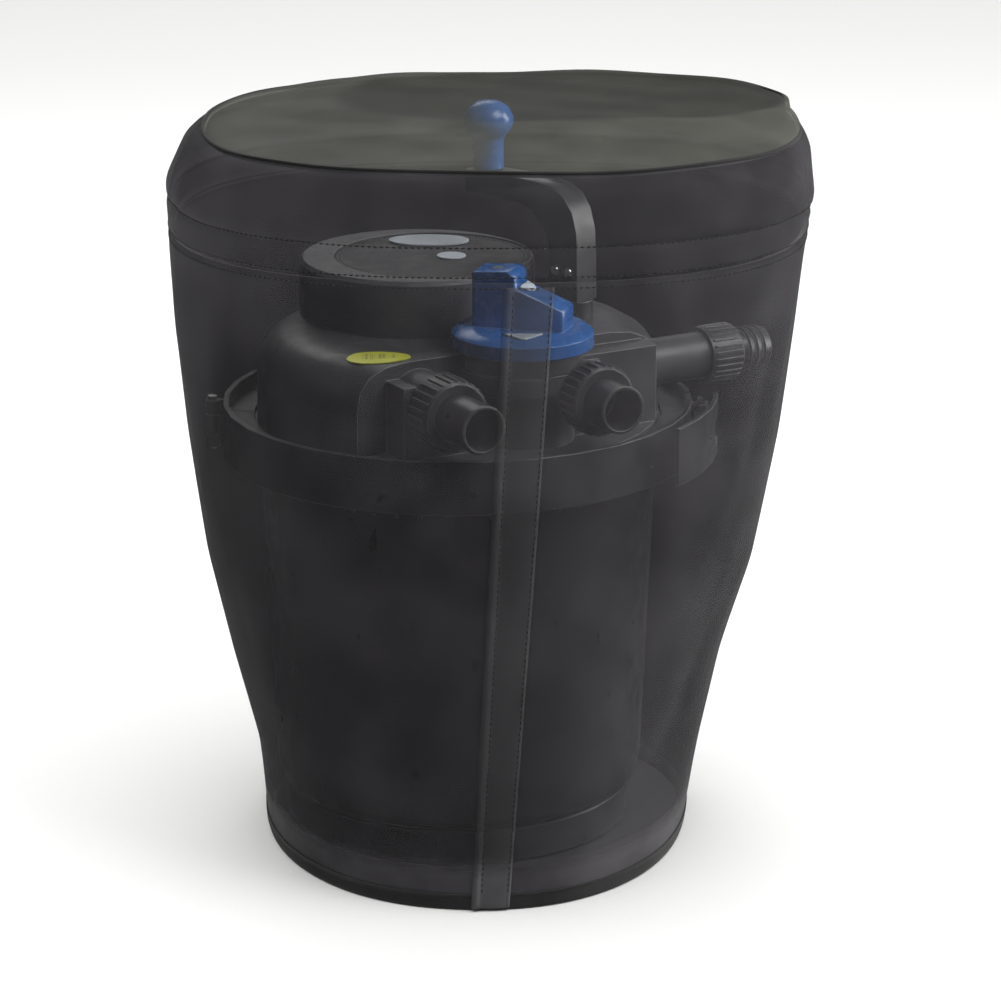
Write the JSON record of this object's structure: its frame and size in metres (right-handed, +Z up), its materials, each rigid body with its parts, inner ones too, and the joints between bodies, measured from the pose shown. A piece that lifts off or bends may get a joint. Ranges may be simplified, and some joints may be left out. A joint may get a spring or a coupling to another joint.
{
  "type": "pressurised pond filter with winter cover",
  "caption": "Drum-shaped pressure filter for a pond, with hose tails, selector knob, hand crank and lamp housing on its head, under a lift-off fabric winter cover.",
  "frame": {"origin": "middle of the foot tray's underside, on the drum's axis", "axes": "+Z up along the drum's axis; the two front hose ports point along -Y and the waste port along +X"},
  "size_m": [0.5105, 0.4799, 0.576],
  "materials": {
    "black_plastic": "moulded, fine matt grain",
    "satin_plastic": "moulded, satin",
    "seal_rubber": "smooth",
    "steel": "stainless",
    "label_film": "printed film",
    "blue_plastic": "moulded, semi-gloss",
    "pale_plastic": "moulded, semi-gloss",
    "quartz": "clear",
    "lamp_glass": "frosted",
    "ceramic": "unglazed",
    "cage_plastic": "moulded",
    "foam_blue": "open-cell foam, coarse",
    "foam_red": "open-cell foam, fine",
    "nylon": "moulded, natural",
    "neoprene": "foamed rubber sheet with knitted face",
    "neoprene_lid": "foamed rubber sheet with knitted face",
    "neoprene_strip": "foamed rubber sheet, stitched edges"
  },
  "bodies": {
    "filter": {"foot_tray": "black_plastic", "tank": "black_plastic", "tank_seal": "seal_rubber", "clamp_front": "black_plastic", "clamp_back": "black_plastic", "clamp_hinge_pin": "steel", "lever_pin": "steel", "head": "satin_plastic", "rating_label": "label_film", "port_seal_left": "seal_rubber", "hose_tail_left": "black_plastic", "port_seal_right": "seal_rubber", "hose_tail_right": "black_plastic", "port_seal_waste": "seal_rubber", "hose_tail_waste": "black_plastic", "valve_cap": "satin_plastic", "uvc_housing": "satin_plastic", "uvc_cap": "black_plastic", "uvc_badge": "pale_plastic", "uvc_window": "pale_plastic", "quartz_sleeve": "quartz", "uvc_lamp": "lamp_glass", "lamp_socket": "ceramic", "sleeve_seal": "seal_rubber", "cable_gland": "black_plastic", "crank_bush": "black_plastic", "shaft_seal": "seal_rubber"},
    "lever": {"clamp_lever": "black_plastic", "link_pin": "steel"},
    "link": {"clamp_link": "black_plastic"},
    "selector": {"selector_knob": "blue_plastic", "valve_rotor": "black_plastic", "knob_screw": "steel", "knob_inlay": "pale_plastic", "knob_pointer": "pale_plastic"},
    "crank": {"crank_shaft": "steel", "pinion": "nylon", "crank_arm": "black_plastic", "grip_pin": "steel", "hub_screw_a": "steel", "hub_screw_b": "steel"},
    "grip": {"crank_grip": "blue_plastic"},
    "sponge_pack": {"sponge_cage": "cage_plastic", "sponge_1": "foam_blue", "sponge_2": "foam_red", "sponge_3": "foam_blue", "sponge_4": "foam_red", "sponge_top_plate": "cage_plastic", "ring_gear": "nylon"},
    "nut_left": {"union_nut_left": "black_plastic"},
    "nut_right": {"union_nut_right": "black_plastic"},
    "nut_waste": {"union_nut_waste": "black_plastic"},
    "cover": {"cover_lid": "neoprene_lid", "cover_band": "neoprene", "cover_skirt": "neoprene", "cover_placket": "neoprene_strip"}
  },
  "joints": [
    {"name": "lever_swing", "type": "hinge", "parent": "filter", "child": "lever", "pos_m": [0.15574, -0.11315, 0.324], "axis": [0, 0, 1], "range_deg": [0, 28]},
    {"name": "link_swing", "type": "hinge", "parent": "lever", "child": "link", "pos_m": [0.14604, -0.1265, 0.324], "axis": [0, 0, 1], "range_deg": [-21.6, 0]},
    {"name": "selector_turn", "type": "hinge", "parent": "filter", "child": "selector", "pos_m": [0.0042, -0.09479, 0.41], "axis": [0, 0, 1], "range_deg": [-90, 90]},
    {"name": "crank_turn", "type": "hinge", "parent": "filter", "child": "crank", "pos_m": [0.08865, -0.02812, 0.42], "axis": [0, 0, 1], "continuous": true},
    {"name": "grip_spin", "type": "hinge", "parent": "crank", "child": "grip", "pos_m": [0.05749, 0.05097, 0.51], "axis": [0, 0, 1], "continuous": true},
    {"name": "sponge_spin", "type": "hinge", "parent": "filter", "child": "sponge_pack", "pos_m": [0, 0, 0.3], "axis": [0, 0, 1], "continuous": true},
    {"name": "nut_left_turn", "type": "hinge", "parent": "filter", "child": "nut_left", "pos_m": [-0.0825, -0.131, 0.3735], "axis": [0, -1, 0], "continuous": true},
    {"name": "nut_right_turn", "type": "hinge", "parent": "filter", "child": "nut_right", "pos_m": [0.0366, -0.152, 0.3735], "axis": [0, -1, 0], "continuous": true},
    {"name": "nut_waste_turn", "type": "hinge", "parent": "filter", "child": "nut_waste", "pos_m": [0.1855, -0.08799, 0.376], "axis": [1, 0, 0], "continuous": true},
    {"name": "cover_lift", "type": "slide", "parent": "filter", "child": "cover", "axis": [0, 0, 1], "range_m": [0, 0.62], "deforming": ["cover_skirt", "cover_placket"]}
  ],
  "couplings": [
    {"joint": "link_swing", "follows": "lever_swing", "ratio": -0.765},
    {"joint": "sponge_spin", "follows": "crank_turn", "ratio": -0.33333}
  ]
}
